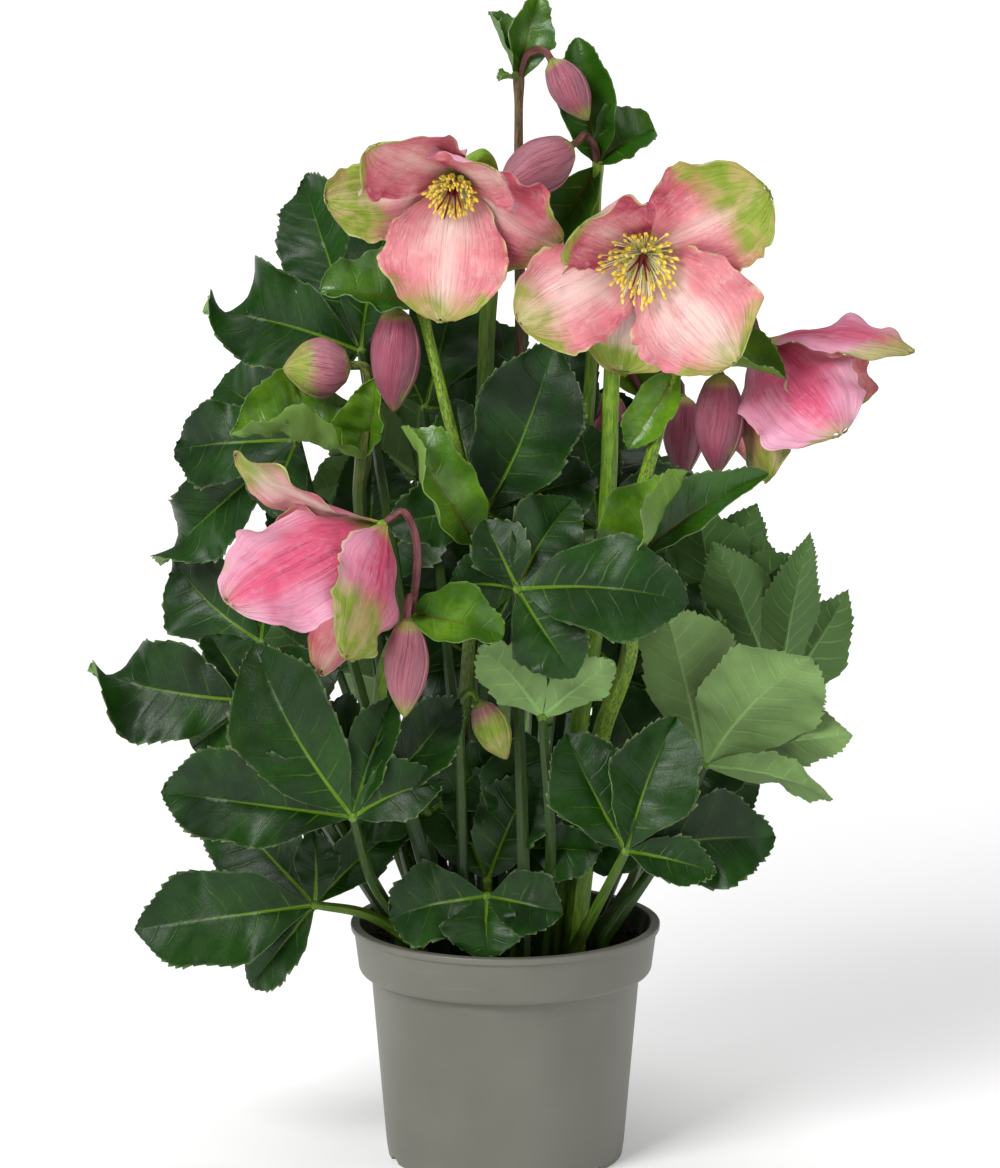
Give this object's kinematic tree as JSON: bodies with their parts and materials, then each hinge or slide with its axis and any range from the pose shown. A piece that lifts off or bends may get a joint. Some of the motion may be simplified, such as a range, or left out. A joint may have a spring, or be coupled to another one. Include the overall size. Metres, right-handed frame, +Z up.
{
  "type": "potted christmas rose",
  "caption": "Hellebore in bloom with hand-shaped toothed leaves and nodding cupped flowers, growing from soil in a round tapered plastic nursery pot.",
  "frame": {"origin": "on the surface that the pot stands on, at the middle of the pot's foot ring, which is also the middle of the whole plant's footprint to within a few millimetres", "axes": "+Z up along the pot's axis, -Y towards the side of the plant that the picture shows, +X to the viewer's right"},
  "size_m": [0.3608, 0.2734, 0.5238],
  "materials": {
    "pot_plastic": "satin",
    "potting_soil": "matte",
    "leaf_green": "satin",
    "stem_green": "satin",
    "sepal_pink": "matte",
    "bud_pink": "matte",
    "stamen_yellow": "matte",
    "pistil_red": "satin"
  },
  "bodies": {
    "root": {"pot": "pot_plastic", "soil": "potting_soil", "leaf_low_left": "leaf_green", "leaf_left_fan": "leaf_green", "leaf_front": "leaf_green", "leaf_front_up": "leaf_green", "leaf_low_right": "leaf_green", "leaf_right": "leaf_green", "leaf_right_top": "leaf_green", "leaf_centre": "leaf_green", "leaf_upper_centre": "leaf_green", "leaf_upper_left": "leaf_green", "leaf_left_mid": "leaf_green", "leaf_left_mid_low": "leaf_green", "leaf_left_low": "leaf_green", "leaf_centre_low": "leaf_green", "leaf_upper_back_left": "leaf_green", "leaf_right_centre": "leaf_green", "leaf_back_right": "leaf_green", "leaf_back_mid": "leaf_green", "leaf_back_left": "leaf_green", "leaf_back_high_left": "leaf_green", "leaf_back_high_right": "leaf_green", "stem_bloom_left": "stem_green", "stem_bud_left": "stem_green", "stem_bloom_right": "stem_green", "stem_side_right": "stem_green", "stem_top": "stem_green", "stem_top_right": "stem_green", "stem_low_left": "stem_green", "stem_bract_left": "stem_green", "stem_small_bud": "stem_green", "stem_back_right": "stem_green", "bloom_left": "sepal_pink", "bloom_left_stamens": "stamen_yellow", "bloom_left_pistils": "pistil_red", "bloom_right": "sepal_pink", "bloom_right_stamens": "stamen_yellow", "bloom_right_pistils": "pistil_red", "bloom_low_left": "sepal_pink", "bloom_low_left_stamens": "stamen_yellow", "bloom_low_left_pistils": "pistil_red", "bloom_far_right": "sepal_pink", "bloom_far_right_stamens": "stamen_yellow", "bloom_far_right_pistils": "pistil_red", "bud_left": "bud_pink", "bud_side_right": "bud_pink", "bud_top": "bud_pink", "bud_top_right": "bud_pink", "bud_low_left": "bud_pink", "bud_bract_left": "bud_pink", "bud_small": "bud_pink", "bud_back_centre": "bud_pink", "bud_back_right": "bud_pink"}
  },
  "joints": []
}
